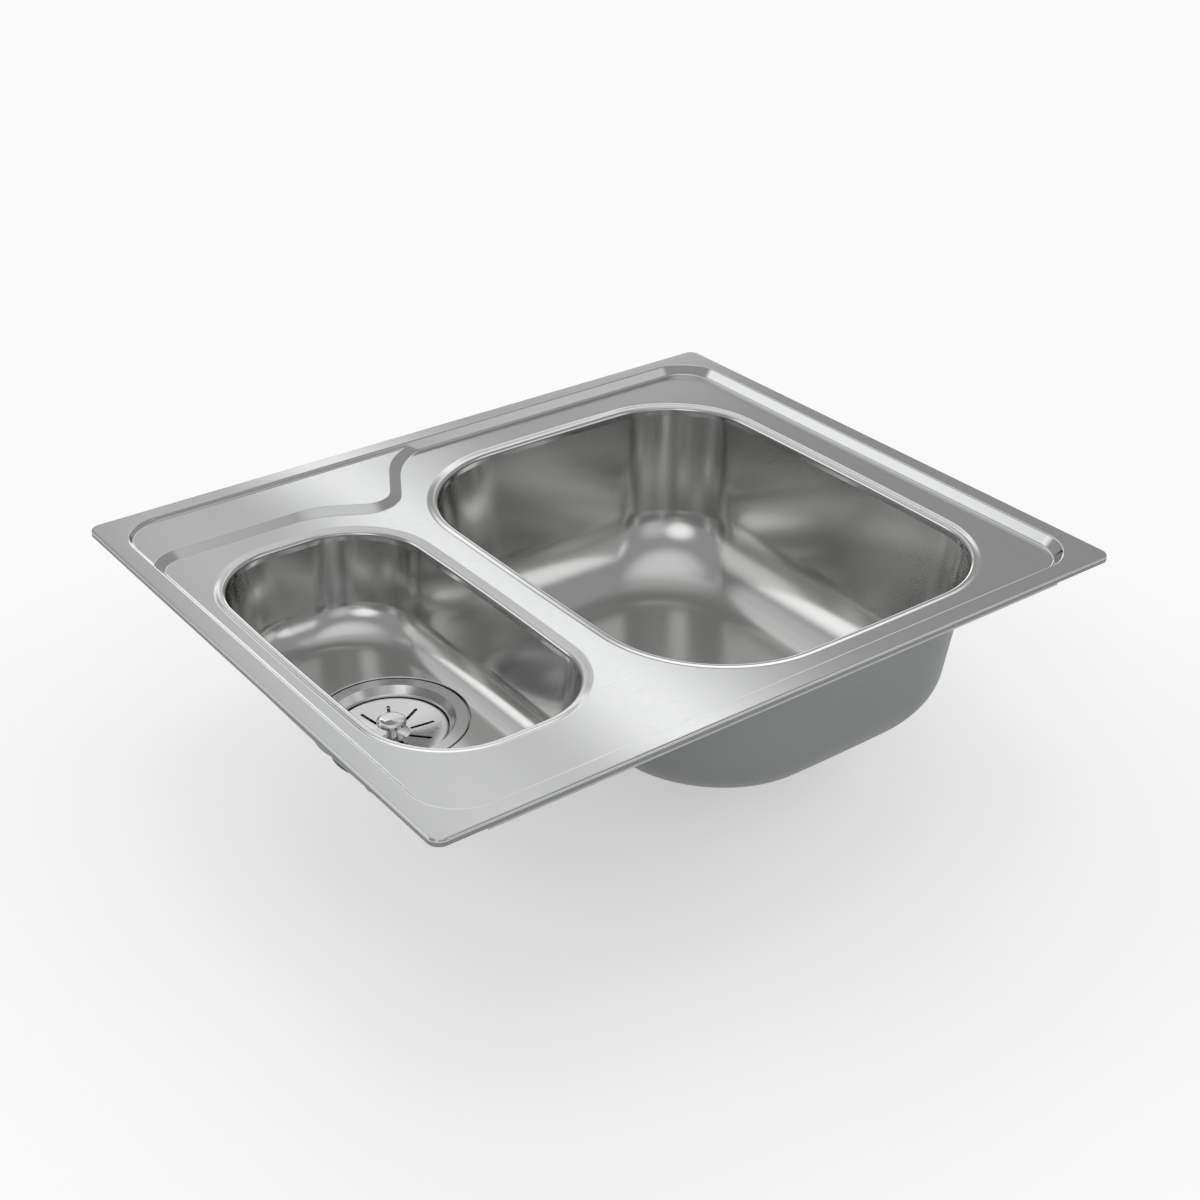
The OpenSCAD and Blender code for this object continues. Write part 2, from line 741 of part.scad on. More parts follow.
// Rubber stopper under the plate, hollow round the screw's head
module stopper(at) {
    r = drain_ring_r + drain_hole_r + stopper_lap;
    lip = r - stopper_t / 3;
    head_gap = 1.5;
    head_r = screw_d + head_gap;
    color("#1d1e1f")
        translate(at + [0, 0, cup_floor + gap])
            rotate_extrude()
                polygon([
                    [stem_d / 2, stopper_t], [head_r, stopper_t], [head_r, 0], [lip, 0],
                    [r, stopper_t / 5], [lip, stopper_t], [stem_d / 2 + hub_w, stopper_t + boss_h],
                    [stem_d / 2, stopper_t + boss_h]
                ]);
}

module main_flange() { flange(main_at); }
module main_top_seal() { top_seal(main_at); }
module main_low_seal() { low_seal(main_at); }
module main_waste_body() { waste_body(main_at); }
module main_clamp_screw() { clamp_screw(main_at); }
module main_basket() { basket(main_at); }
module main_knob() { knob(main_at); }
module main_stopper() { stopper(main_at); }
module half_flange() { flange(half_at); }
module half_top_seal() { top_seal(half_at); }
module half_low_seal() { low_seal(half_at); }
module half_waste_body() { waste_body(half_at); }
module half_clamp_screw() { clamp_screw(half_at); }
module half_basket() { basket(half_at); }
module half_knob() { knob(half_at); }
module half_stopper() { stopper(half_at); }

deck();
main_bowl();
half_bowl();
rim_seal();
front_rail();
back_rail();
main_sound_pad();
main_flange();
main_top_seal();
main_low_seal();
main_waste_body();
main_clamp_screw();
main_basket();
main_knob();
main_stopper();
half_flange();
half_top_seal();
half_low_seal();
half_waste_body();
half_clamp_screw();
half_basket();
half_knob();
half_stopper();
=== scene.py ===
import json
import math

import bpy
import numpy as np
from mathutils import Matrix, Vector
from mathutils.geometry import delaunay_2d_cdt

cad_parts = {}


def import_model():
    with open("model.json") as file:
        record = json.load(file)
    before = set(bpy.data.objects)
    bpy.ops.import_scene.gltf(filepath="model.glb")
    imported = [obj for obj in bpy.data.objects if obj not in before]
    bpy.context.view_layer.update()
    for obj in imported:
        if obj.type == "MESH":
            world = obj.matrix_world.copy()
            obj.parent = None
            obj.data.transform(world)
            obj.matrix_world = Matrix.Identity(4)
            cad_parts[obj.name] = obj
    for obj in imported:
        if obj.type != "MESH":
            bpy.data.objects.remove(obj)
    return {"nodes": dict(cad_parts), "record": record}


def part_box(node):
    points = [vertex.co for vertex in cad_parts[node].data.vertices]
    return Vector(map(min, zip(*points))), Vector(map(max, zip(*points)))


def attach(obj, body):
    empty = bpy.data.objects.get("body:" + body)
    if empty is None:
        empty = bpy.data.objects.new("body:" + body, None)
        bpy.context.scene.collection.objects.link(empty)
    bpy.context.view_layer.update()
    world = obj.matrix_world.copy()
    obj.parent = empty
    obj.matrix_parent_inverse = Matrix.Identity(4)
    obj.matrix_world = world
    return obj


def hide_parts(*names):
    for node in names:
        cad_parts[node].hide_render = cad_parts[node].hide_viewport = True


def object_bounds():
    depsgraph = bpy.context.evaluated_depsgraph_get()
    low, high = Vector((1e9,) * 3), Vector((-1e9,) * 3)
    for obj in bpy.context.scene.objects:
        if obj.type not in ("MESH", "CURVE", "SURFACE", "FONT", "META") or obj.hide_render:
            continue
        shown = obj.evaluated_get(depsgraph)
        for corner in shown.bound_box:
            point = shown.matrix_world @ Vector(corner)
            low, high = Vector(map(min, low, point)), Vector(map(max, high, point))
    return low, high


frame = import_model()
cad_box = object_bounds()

# One and a half bowl sink in pressed stainless steel.
# The deck and both bowls are sheets made here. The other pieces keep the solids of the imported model.
# Shapes are worked out in millimetres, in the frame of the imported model, and made in metres.
MM = 0.001

# Rim and deck. Angles are in degrees, here and below.
SHEET = 0.8
LIP_R = 1.8
# Depth in from the rim's edge within which the lip's outer face gets painted shade.
LIP_SHADE_DEPTH = 0.1
RIM_CORNER_R = 9.0
LEDGE_W = 13.7
LEDGE_CORNER_R = 38.0
RECESS_DEPTH = 7.5
SLOPE_ANGLE = 50.0
SLOPE_TOP_R = 2.0
SLOPE_FOOT_R = 2.5

# Tap ledge: its height below the rim, the line of its edge in plan, and its pressed step
TAP_DROP = 2.8
TAP_SETBACK = 27.5
TAP_NOSE_DIP = 6.0
TAP_NOSE_SIDE = 0.4
TAP_DIP_START = 58.0
TAP_TURN = 49.0
TAP_TURN_IN = 3.4
TAP_FAR = 430.0
TAP_TAIL_ANGLE = 11.0
TAP_LEFT_R = 20.0
TAP_DIP_R = 60.0
TAP_NOSE_R = 30.0
TAP_BEND_R = 70.0
STEP_ANGLE = 30.0
STEP_TOP_R = 2.0
STEP_FOOT_R = 2.5
CREASE_POWER = 12

# Bowls: corner radii in the order front right, back right, back left, front left
MAIN_RADII = (75.0, 75.0, 94.0, 94.0)
HALF_RADII = (58.0, 58.0, 58.0, 58.0)
MAIN_FOOT_R = 60.0
HALF_FOOT_R = 26.0
FOOT_JOIN = 40.5
CORNER_SHRINK = 0.25
LEAST_CORNER_R = 3.0
WALL_LEAN = 6.5
SIDE_BOW = 3.0
BOW_LIMIT = 1.2
ROLL_R = 3.2
MARGIN_W = 6.3
MARGIN_FALL = 0.7
COLLAR_H = 3.8

# Wastes: the bowl's seat for the flange, with the small bends at its foot and round its hole
HOLE_D = 90.0
RECESS_D = 116.4
SEAT_DROP = 2.5
SEAT_EDGE_R = 0.8
SEAT_BEND = 0.3
SEAT_BEND_MIDDLE = 0.1
FLANGE_FLAT_D = 95.2
FLANGE_T = 1.0
SEAL_T = 1.2
SLOPE_FALL = 5.6
GAP = 0.3
BREAK_RUN = 1.0
BREAK_FALL = 0.15
HOLE_EDGE_RUN = 0.4
HOLE_EDGE_TOP = 0.9
HOLE_EDGE_LOW = 0.5

# Fineness of the meshes: points or rows along each part of a shape
CORNER_STEPS = 24
BOWL_SIDE_STEPS = 24
RIM_SIDE_STEPS = 6
SLOPE_ROWS = 33
LIP_ROWS = 9
MARGIN_ROWS = 9
ROLL_ROWS = 15
WALL_ROWS = 8
UPPER_FOOT_ROWS = 16
LOWER_FOOT_ROWS = 14
SEAT_EDGE_ROWS = 7
SEAT_TURN = 3
FILLET_TURN = 3.0
FILLET_LEAST_STEPS = 3
INSET_ROUNDS = 10
NORMAL_REACH = 0.02
EDGE_MARGIN = 0.005
TIE_MARGIN = 1e-9
LEAST_LENGTH = 1e-12
MESH_TOLERANCE = 1e-5
WELD_DIGITS = 3

deck_lo, deck_hi = (np.array(c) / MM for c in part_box("deck"))
RIM_H = deck_hi[2]
RIM_BOX = (deck_lo[0], deck_hi[0], deck_lo[1], deck_hi[1])
DECK_Z = RIM_H - RECESS_DEPTH
TAP_H = RECESS_DEPTH - TAP_DROP
ROLL_Z = DECK_Z - MARGIN_FALL - ROLL_R
WELD_Z = ROLL_Z - COLLAR_H
DISH_DROP = SEAT_DROP - SEAL_T + SLOPE_FALL


class Bowl:
    """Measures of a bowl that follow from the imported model's boxes."""

    def __init__(self, name, radii, foot_r):
        lo, hi = (np.array(c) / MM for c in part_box(name + "_bowl"))
        waste_lo, waste_hi = (np.array(c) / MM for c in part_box(name + "_flange"))
        self.name = name
        self.radii = radii
        self.foot_r = foot_r
        self.box = lo[0] + SHEET, hi[0] - SHEET, lo[1] + SHEET, hi[1] - SHEET
        self.floor_z = lo[2] + DISH_DROP
        self.waste = (waste_lo[:2] + waste_hi[:2]) / 2


MAIN = Bowl("main", MAIN_RADII, MAIN_FOOT_R)
HALF = Bowl("half", HALF_RADII, HALF_FOOT_R)
DIVIDER_X = (HALF.box[1] + MAIN.box[0]) / 2


# Plan curves. A box holds its left, right, front and back limits.

def inner_box(b, i):
    return b[0] + i, b[1] - i, b[2] + i, b[3] - i


def middle_and_half(b):
    return np.array([b[0] + b[1], b[2] + b[3]]) / 2, np.array([b[1] - b[0], b[3] - b[2]]) / 2


def rounded(b, radii, corner_n, side_n):
    """Rounded rectangle as points, anticlockwise from the front right corner."""
    centres = [
        (b[1] - radii[0], b[2] + radii[0]), (b[1] - radii[1], b[3] - radii[1]),
        (b[0] + radii[2], b[3] - radii[2]), (b[0] + radii[3], b[2] + radii[3]),
    ]
    arcs = []
    for k in range(4):
        a = np.radians(-90 + 90 * k + np.linspace(0, 90, corner_n + 1))
        arcs.append(np.array(centres[k]) + radii[k] * np.stack([np.cos(a), np.sin(a)], 1))
    points = []
    for k in range(4):
        points.append(arcs[k])
        start, end = arcs[k][-1], arcs[(k + 1) % 4][0]
        t = np.arange(1, side_n)[:, None] / side_n
        points.append(start + (end - start) * t)
    return np.concatenate(points)


def rim_line(i, r):
    return rounded(inner_box(RIM_BOX, i), [r] * 4, CORNER_STEPS, RIM_SIDE_STEPS)


def pick(radii, d):
    """Corner radius of the corner that each offset from the middle lies in."""
    right, back = d[:, 0] > 0, d[:, 1] > 0
    return np.where(right, np.where(back, radii[1], radii[0]), np.where(back, radii[2], radii[3]))


def depth_in(d, half, r):
    """Distance inside a rounded rectangle's edge at the offset d from its middle, negative outside."""
    q = np.abs(d) - half + r[:, None]
    outside = np.linalg.norm(np.maximum(q, 0), axis=1)
    return r - outside - np.minimum(np.maximum(q[:, 0], q[:, 1]), 0)


def distance_in(p, b, radii):
    """Distance of points inside a rounded rectangle's edge, negative outside."""
    centre, half = middle_and_half(b)
    return depth_in(p - centre, half, pick(radii, p - centre))


def bow(u, v):
    """Outward shift of a bowl's outline, most in the middle of each side."""
    return SIDE_BOW * np.stack([u * (1 - v * v), v * (1 - u * u)], 1)


def corner_radius(r, i):
    """Radius of a bowl's corner at an inset: it shrinks slower than the inset grows."""
    return r - np.where(i > 0, CORNER_SHRINK, 1) * i


def bowl_line(bowl, i):
    """Outline of a bowl at the inset i from its opening's edge, with its sides bowed outwards."""
    b = inner_box(bowl.box, i + SIDE_BOW)
    p = rounded(b, [corner_radius(r, i) for r in bowl.radii], CORNER_STEPS, BOWL_SIDE_STEPS)
    centre, half = middle_and_half(b)
    n = (p - centre) / half
    return p + bow(n[:, 0], n[:, 1])


def bowl_inset(bowl, p):
    """Inset of the outline that passes through each point: bowl_line the other way round."""
    centre, half = middle_and_half(inner_box(bowl.box, SIDE_BOW))
    radii, q, i = pick(bowl.radii, p - centre), p, np.zeros(len(p))
    for _ in range(INSET_ROUNDS):
        size = half - i[:, None]
        n = np.clip((q - centre) / np.maximum(size, 1), -BOW_LIMIT, BOW_LIMIT)
        q = p - bow(n[:, 0], n[:, 1])
        i = i + depth_in(q - centre, size, np.maximum(corner_radius(radii, i), LEAST_CORNER_R))
    return i


# Heights of the bowls

def wall_profile(bowl):
    """Height where a bowl's foot starts, and the inset of the foot's centre."""
    lean = math.radians(WALL_LEAN)
    foot_z = bowl.floor_z + bowl.foot_r * (1 - math.sin(lean))
    centre = (WELD_Z - foot_z) * math.tan(lean) + bowl.foot_r * math.cos(lean)
    return foot_z, centre


def bowl_height(bowl, inset):
    """Height of a bowl's inside from the weld down to the floor."""
    foot_z, centre = wall_profile(bowl)
    wall = WELD_Z - inset / math.tan(math.radians(WALL_LEAN))
    d = np.clip(centre - inset, 0, bowl.foot_r)
    foot = bowl.floor_z + bowl.foot_r - np.sqrt(bowl.foot_r ** 2 - d ** 2)
    return np.where(wall > foot_z, wall, foot)


# Height of the deck: the recess and the pressed step of the tap ledge

def s_curve(x, angle, top_r, foot_r, height):
    """Fall from 0 to -height over two roundings joined at an angle, from x = 0, and its width."""
    s, k = math.sin(math.radians(angle)), 1 - math.cos(math.radians(angle))
    straight = (height - (top_r + foot_r) * k) / math.tan(math.radians(angle))
    a, b, end = top_r * s, top_r * s + straight, (top_r + foot_r) * s + straight
    top = top_r - np.sqrt(top_r ** 2 - np.clip(x, 0, a) ** 2)
    middle = np.clip(x - a, 0, straight) * math.tan(math.radians(angle))
    foot = np.clip(end - x, 0, foot_r * s)
    low = height - (foot_r - np.sqrt(foot_r ** 2 - foot ** 2))
    return -np.where(x < b, top + middle, low), end


def recess_slope(x):
    return s_curve(x, SLOPE_ANGLE, SLOPE_TOP_R, SLOPE_FOOT_R, RECESS_DEPTH)


def tap_step(x):
    return s_curve(x, STEP_ANGLE, STEP_TOP_R, STEP_FOOT_R, TAP_H)


SLOPE_RUN = recess_slope(np.zeros(1))[1]
STEP_RUN = tap_step(np.zeros(1))[1]
FLAT_INSET = LEDGE_W + SLOPE_RUN


def past_ledge(p):
    """Distance in from the flat ledge's inner edge."""
    return distance_in(p, inner_box(RIM_BOX, LEDGE_W), [LEDGE_CORNER_R] * 4)


def fillet(a, b, c, r):
    """Points of the arc of radius r that rounds the corner b between a and c."""
    u, v = (a - b) / np.linalg.norm(a - b), (c - b) / np.linalg.norm(c - b)
    half = math.acos(np.clip(u @ v, -1, 1)) / 2
    o = b + (u + v) / np.linalg.norm(u + v) * r / math.sin(half)
    p, q = b + u * r / math.tan(half), b + v * r / math.tan(half)
    start = math.atan2(p[1] - o[1], p[0] - o[0])
    # The turn goes the shorter way round
    turn = (math.atan2(q[1] - o[1], q[0] - o[0]) - start + 3 * math.pi) % (2 * math.pi) - math.pi
    n = max(FILLET_LEAST_STEPS, math.ceil(abs(math.degrees(turn)) / FILLET_TURN))
    t = start + turn * np.arange(n + 1) / n
    return o + r * np.stack([np.cos(t), np.sin(t)], 1)


def tap_foot():
    """Foot of the tap ledge's edge, from the left slope round the nose and into the back slope."""
    corner = np.array([RIM_BOX[0] + FLAT_INSET - SLOPE_FOOT_R / 2, HALF.box[3] + TAP_SETBACK])
    start = np.array([corner[0], RIM_BOX[2]])
    dip = np.array([DIVIDER_X - TAP_DIP_START, corner[1]])
    nose = np.array([DIVIDER_X - TAP_NOSE_SIDE, HALF.box[3] - TAP_NOSE_DIP])
    turn = np.array([DIVIDER_X + TAP_TURN, RIM_BOX[3] - FLAT_INSET - TAP_TURN_IN])
    angle = math.radians(TAP_TAIL_ANGLE)
    far = turn + TAP_FAR * np.array([math.cos(angle), math.sin(angle)])
    return np.concatenate([
        [start], fillet(start, corner, dip, TAP_LEFT_R), fillet(corner, dip, nose, TAP_DIP_R),
        fillet(dip, nose, turn, TAP_NOSE_R), fillet(nose, turn, far, TAP_BEND_R), [far],
    ])


TAP_FOOT = tap_foot()


def step_distance(p):
    """Signed distance of points from the foot of the tap ledge's edge, positive on the ledge."""
    best, side = np.full(len(p), np.inf), np.zeros(len(p))
    for start, end in zip(TAP_FOOT[:-1], TAP_FOOT[1:]):
        d = end - start
        t = np.clip(((p - start) @ d) / (d @ d), 0, 1)
        gap = p - (start + t[:, None] * d)
        dist = np.hypot(gap[:, 0], gap[:, 1])
        cross = d[0] * (p[:, 1] - start[1]) - d[1] * (p[:, 0] - start[0])
        nearer = dist < best - TIE_MARGIN
        best = np.where(nearer, dist, best)
        side = np.where(nearer, cross, side)
    return best * np.sign(side)


def deck_height(p):
    """Height of the deck: the higher of its two pressed forms, with a soft crease between them."""
    rim_part = 1 + recess_slope(past_ledge(p))[0] / RECESS_DEPTH
    tap_part = (TAP_H + tap_step(STEP_RUN - step_distance(p))[0]) / RECESS_DEPTH
    both = rim_part ** CREASE_POWER + tap_part ** CREASE_POWER
    return DECK_Z + RECESS_DEPTH * both ** (1 / CREASE_POWER)


# Patches of a sheet's upper side, as points, normals at the points, and faces

def unit(v):
    return v / np.maximum(np.linalg.norm(v, axis=-1, keepdims=True), LEAST_LENGTH)


def at_height(line, z):
    return np.column_stack([line, np.broadcast_to(z, len(line))])


def field_normals(points, height):
    """Normals of a height field at points in plan."""
    dx, dy = np.array([NORMAL_REACH, 0]), np.array([0, NORMAL_REACH])
    gx = (height(points + dx) - height(points - dx)) / (2 * NORMAL_REACH)
    gy = (height(points + dy) - height(points - dy)) / (2 * NORMAL_REACH)
    return unit(np.stack([-gx, -gy, np.ones(len(points))], 1))


def field_patch(rings, lines, height, keep):
    """Height field meshed through closed rings and open lines, where keep takes a triangle's middle."""
    edges, base = [], 0
    for line in rings:
        n = len(line)
        edges += [(base + k, base + (k + 1) % n) for k in range(n)]
        base += n
    for line in lines:
        n = len(line)
        edges += [(base + k, base + k + 1) for k in range(n - 1)]
        base += n
    points = [Vector(p) for p in np.concatenate(rings + lines)]
    found = delaunay_2d_cdt(points, edges, [], 0, MESH_TOLERANCE)
    plan = np.array([tuple(v) for v in found[0]])
    faces = np.array([f for f in found[2] if len(f) == 3])
    faces = faces[keep(plan[faces].mean(1))]
    a, b, c = (plan[faces[:, k]] for k in range(3))
    turn = (b[:, 0] - a[:, 0]) * (c[:, 1] - a[:, 1]) - (b[:, 1] - a[:, 1]) * (c[:, 0] - a[:, 0])
    faces[turn < 0] = faces[turn < 0][:, ::-1]
    verts = np.column_stack([plan, height(plan)])
    return verts, field_normals(plan, height), [tuple(f) for f in faces]


def grid_patch(rows, first=None, last=None):
    """Rows of rings as quads. The rows run inwards and the rings anticlockwise, so it faces up.

    The first and last row take the normals given for them.
    """
    rows = np.array(rows)
    m, n, _ = rows.shape
    along = np.roll(rows, -1, 1) - np.roll(rows, 1, 1)
    inward = np.gradient(rows, axis=0)
    normals = unit(np.cross(along, inward))
    if first is not None:
        normals[0] = first
    if last is not None:
        normals[-1] = last
    faces = []
    for j in range(m - 1):
        for i in range(n):
            k = (i + 1) % n
            faces.append((j * n + i, j * n + k, (j + 1) * n + k, (j + 1) * n + i))
    return rows.reshape(-1, 3), normals.reshape(-1, 3), faces


# Sheets

def joined(patches):
    """Points, normals and faces of all patches in one list each."""
    verts = np.concatenate([p[0] for p in patches])
    normals = np.concatenate([p[1] for p in patches])
    faces, base = [], 0
    for points, _, own in patches:
        faces += [tuple(i + base for i in f) for f in own]
        base += len(points)
    return verts, normals, faces


def welded(verts, normals, faces):
    """Shared points, their mean normals, and the faces with their own normals at their corners.

    A face that closes up to a line is left out.
    """
    key = np.round(verts, WELD_DIGITS)
    _, index, shared = np.unique(key, axis=0, return_index=True, return_inverse=True)
    shared = shared.ravel()
    mean = np.zeros((len(index), 3))
    np.add.at(mean, shared, normals)
    kept, corner_normals = [], []
    for f in faces:
        g = [int(shared[i]) for i in f]
        corners = [k for k in range(len(g)) if g[k] != g[k - 1]]
        if len(corners) < 3:
            continue
        kept.append([g[k] for k in corners])
        corner_normals.append([normals[f[k]] for k in corners])
    return verts[index], unit(mean), kept, corner_normals


def open_edges(faces):
    """Edges that one face alone runs through."""
    uses = {(f[k - 1], f[k]): True for f in faces for k in range(len(f))}
    return [(a, b) for a, b in uses if (b, a) not in uses]


def sheet_object(name, patches):
    """Closed sheet under its upper side's patches, with the patches' own normals.

    Its first material is the upper side's, and its second, a darker steel with painted shade, is for
    the back and the bare edges.
    """
    top, mean, shown, shown_normals = welded(*joined(patches))
    points = np.concatenate([top, top - SHEET * mean])
    count = len(top)
    below = [[i + count for i in reversed(f)] for f in shown]
    below_normals = [[-n for n in reversed(ns)] for ns in shown_normals]
    rims, rim_normals = [], []
    for a, b in open_edges(shown):
        quad = [b, a, a + count, b + count]
        n = unit(np.cross(points[quad[1]] - points[quad[0]], points[quad[3]] - points[quad[0]]))
        rims.append(quad)
        rim_normals.append([n] * 4)
    mesh = bpy.data.meshes.new(name)
    mesh.from_pydata((points * MM).tolist(), [], shown + below + rims)
    loops = [tuple(n) for ns in shown_normals + below_normals + rim_normals for n in ns]
    back = len(below) + len(rims)
    mesh.polygons.foreach_set("use_smooth", [True] * len(mesh.polygons))
    mesh.polygons.foreach_set("material_index", [0] * len(shown) + [1] * back)
    mesh.normals_split_custom_set(loops)
    mesh.update()
    made = bpy.data.objects.new(name, mesh)
    bpy.context.scene.collection.objects.link(made)
    return made


def deck_lines():
    """Rings and open lines that the deck's mesh runs through, and the test of what is deck."""
    rings = [rim_line(LIP_R, RIM_CORNER_R - LIP_R)]
    insets = np.linspace(LEDGE_W, FLAT_INSET, SLOPE_ROWS)
    rings += [rim_line(i, LEDGE_CORNER_R - (i - LEDGE_W)) for i in insets]
    edge = -ROLL_R - MARGIN_W
    rings += [bowl_line(b, edge) for b in (MAIN, HALF)]
    left = unit(np.gradient(TAP_FOOT, axis=0)) @ np.array([[0, 1], [-1, 0]])
    steps = [TAP_FOOT[1:-1] + w * left[1:-1] for w in np.linspace(0, STEP_RUN, SLOPE_ROWS)]
    outer = inner_box(RIM_BOX, LIP_R)

    def keep(p):
        inside = distance_in(p, outer, [RIM_CORNER_R - LIP_R] * 4) > EDGE_MARGIN
        for b in (MAIN, HALF):
            inside &= bowl_inset(b, p) < edge - EDGE_MARGIN
        return inside

    return rings, steps, keep


def lip_rows():
    """Upright outer face and rounded top of the rim, from the foot up."""
    rows = [at_height(rim_line(0, RIM_CORNER_R), 0)]
    for a in np.radians(np.linspace(90, 0, LIP_ROWS)):
        inset = LIP_R * (1 - math.sin(a))
        rows.append(at_height(rim_line(inset, RIM_CORNER_R - inset), RIM_H - LIP_R * (1 - math.cos(a))))
    return rows


def collar_rows(bowl):
    """Dished margin, rolled edge and collar of an opening, down to the weld."""
    rows = []
    for t in np.linspace(0, 1, MARGIN_ROWS, endpoint=False):
        inset = -ROLL_R - MARGIN_W * (1 - t)
        rows.append(at_height(bowl_line(bowl, inset), DECK_Z - MARGIN_FALL * t * t * (3 - 2 * t)))
    for a in np.radians(np.linspace(0, 90, ROLL_ROWS)):
        inset = ROLL_R * (math.sin(a) - 1)
        rows.append(at_height(bowl_line(bowl, inset), ROLL_Z + ROLL_R * math.cos(a)))
    rows.append(at_height(bowl_line(bowl, 0), WELD_Z))
    return rows


def deck():
    """Pressed sheet of the rim, the ledge, the recess, the tap ledge and both openings' collars."""
    rings, steps, keep = deck_lines()
    patches = [field_patch(rings, steps, deck_height, keep), grid_patch(lip_rows(), last=(0, 0, 1))]
    for b in (MAIN, HALF):
        patches.append(grid_patch(collar_rows(b), first=(0, 0, 1)))
    return sheet_object("deck_sheet", patches)


def seat_patch(bowl, height, around):
    """Seat of the flange: a rounded edge, a short wall, a flat ring and the dished hole."""
    wall_r, hole_r = RECESS_D / 2, HOLE_D / 2
    flat_r = FLANGE_FLAT_D / 2 + FLANGE_T / 2 + GAP
    rows = []
    for a in np.radians(np.linspace(0, 90, SEAT_EDGE_ROWS)):
        p = bowl.waste + (wall_r + SEAT_EDGE_R * (1 - math.sin(a))) * around
        rows.append(at_height(p, height(p) - SEAT_EDGE_R * (1 - math.cos(a))))
    ring = [
        (wall_r, -SEAT_DROP + SEAT_BEND),
        (wall_r - SEAT_BEND_MIDDLE, -SEAT_DROP + SEAT_BEND_MIDDLE),
        (wall_r - SEAT_BEND, -SEAT_DROP),
        (flat_r + BREAK_RUN, -SEAT_DROP),
        (flat_r, -SEAT_DROP - BREAK_FALL),
        (hole_r + HOLE_EDGE_RUN, -DISH_DROP + HOLE_EDGE_TOP),
        (hole_r, -DISH_DROP + HOLE_EDGE_LOW),
    ]
    for r, z in ring:
        rows.append(at_height(bowl.waste + r * around, bowl.floor_z + z))
    return grid_patch(rows)


def bowl_sheet(bowl):
    """Wall, foot and floor of a bowl, and the round seat of its waste."""
    _, centre = wall_profile(bowl)
    lean, join = math.radians(WALL_LEAN), math.radians(FOOT_JOIN)
    foot_start = centre - bowl.foot_r * math.cos(lean)
    wall = np.linspace(0, foot_start, WALL_ROWS, endpoint=False)
    upper = centre - bowl.foot_r * np.cos(np.linspace(lean, join, UPPER_FOOT_ROWS))
    lower = centre - bowl.foot_r * np.cos(np.linspace(join, math.pi / 2, LOWER_FOOT_ROWS))
    rows = []
    for i in np.concatenate([wall, upper]):
        rows.append(at_height(bowl_line(bowl, i), bowl_height(bowl, np.array([i]))[0]))
    seat_r = RECESS_D / 2 + SEAT_EDGE_R
    turn = np.radians(np.arange(0, 360, SEAT_TURN))
    around = np.stack([np.cos(turn), np.sin(turn)], 1)

    def height(p):
        return bowl_height(bowl, np.maximum(bowl_inset(bowl, p), 0))

    def keep(p):
        outside_seat = np.hypot(*(p - bowl.waste).T) > seat_r * math.cos(turn[1] / 2) + EDGE_MARGIN
        return (bowl_inset(bowl, p) > upper[-1] + EDGE_MARGIN) & outside_seat

    rings = [bowl_line(bowl, i) for i in lower] + [bowl.waste + seat_r * around]
    floor_patch = field_patch(rings, [], height, keep)
    low_normals = field_normals(bowl_line(bowl, upper[-1]), height)
    patches = [grid_patch(rows, last=low_normals), floor_patch, seat_patch(bowl, height, around)]
    return sheet_object(bowl.name + "_bowl_sheet", patches)


# Nodes that the materials, the floor and the world share

def math_node(tree, operation, a, b):
    """Result of an operation on two sockets or numbers."""
    node = tree.nodes.new("ShaderNodeMath")
    node.operation = operation
    for socket, value in zip(node.inputs, (a, b)):
        if isinstance(value, (int, float)):
            socket.default_value = value
        else:
            tree.links.new(value, socket)
    return node.outputs[0]


def noise(tree, vector, scale, detail):
    node = tree.nodes.new("ShaderNodeTexNoise")
    node.inputs["Scale"].default_value = scale
    node.inputs["Detail"].default_value = detail
    tree.links.new(vector, node.inputs["Vector"])
    return node.outputs["Fac"]


def tint(tree, shader, value, colour, darkest, lightest):
    """Base colour that goes from its darkest to its lightest tone with a value."""
    tone = tree.nodes.new("ShaderNodeMixRGB")
    tone.inputs["Color1"].default_value = (*[c * darkest for c in colour], 1)
    tone.inputs["Color2"].default_value = (*[min(c * lightest, 1) for c in colour], 1)
    tree.links.new(value, tone.inputs["Fac"])
    tree.links.new(tone.outputs["Color"], shader.inputs["Base Color"])


def dent(tree, shader, value, strength, depth):
    """Fine relief by a value, with its depth in metres."""
    bump = tree.nodes.new("ShaderNodeBump")
    bump.inputs["Strength"].default_value = strength
    bump.inputs["Distance"].default_value = depth
    tree.links.new(value, bump.inputs["Height"])
    tree.links.new(bump.outputs["Normal"], shader.inputs["Normal"])


# Materials

GRAIN_DETAIL = 4
GRAIN_DEPTH = 0.0001
GRAIN_LOW = 0.3
GRAIN_HIGH = 0.7
CLOUD_SCALE = 9
CLOUD_DETAIL = 2
CLOUD_TONES = (0.97, 1.03)
SPECKLE_DETAIL = 3
SPECKLE_DEPTH = 0.0002
SPECKLE_TONES = (0.8, 1.25)

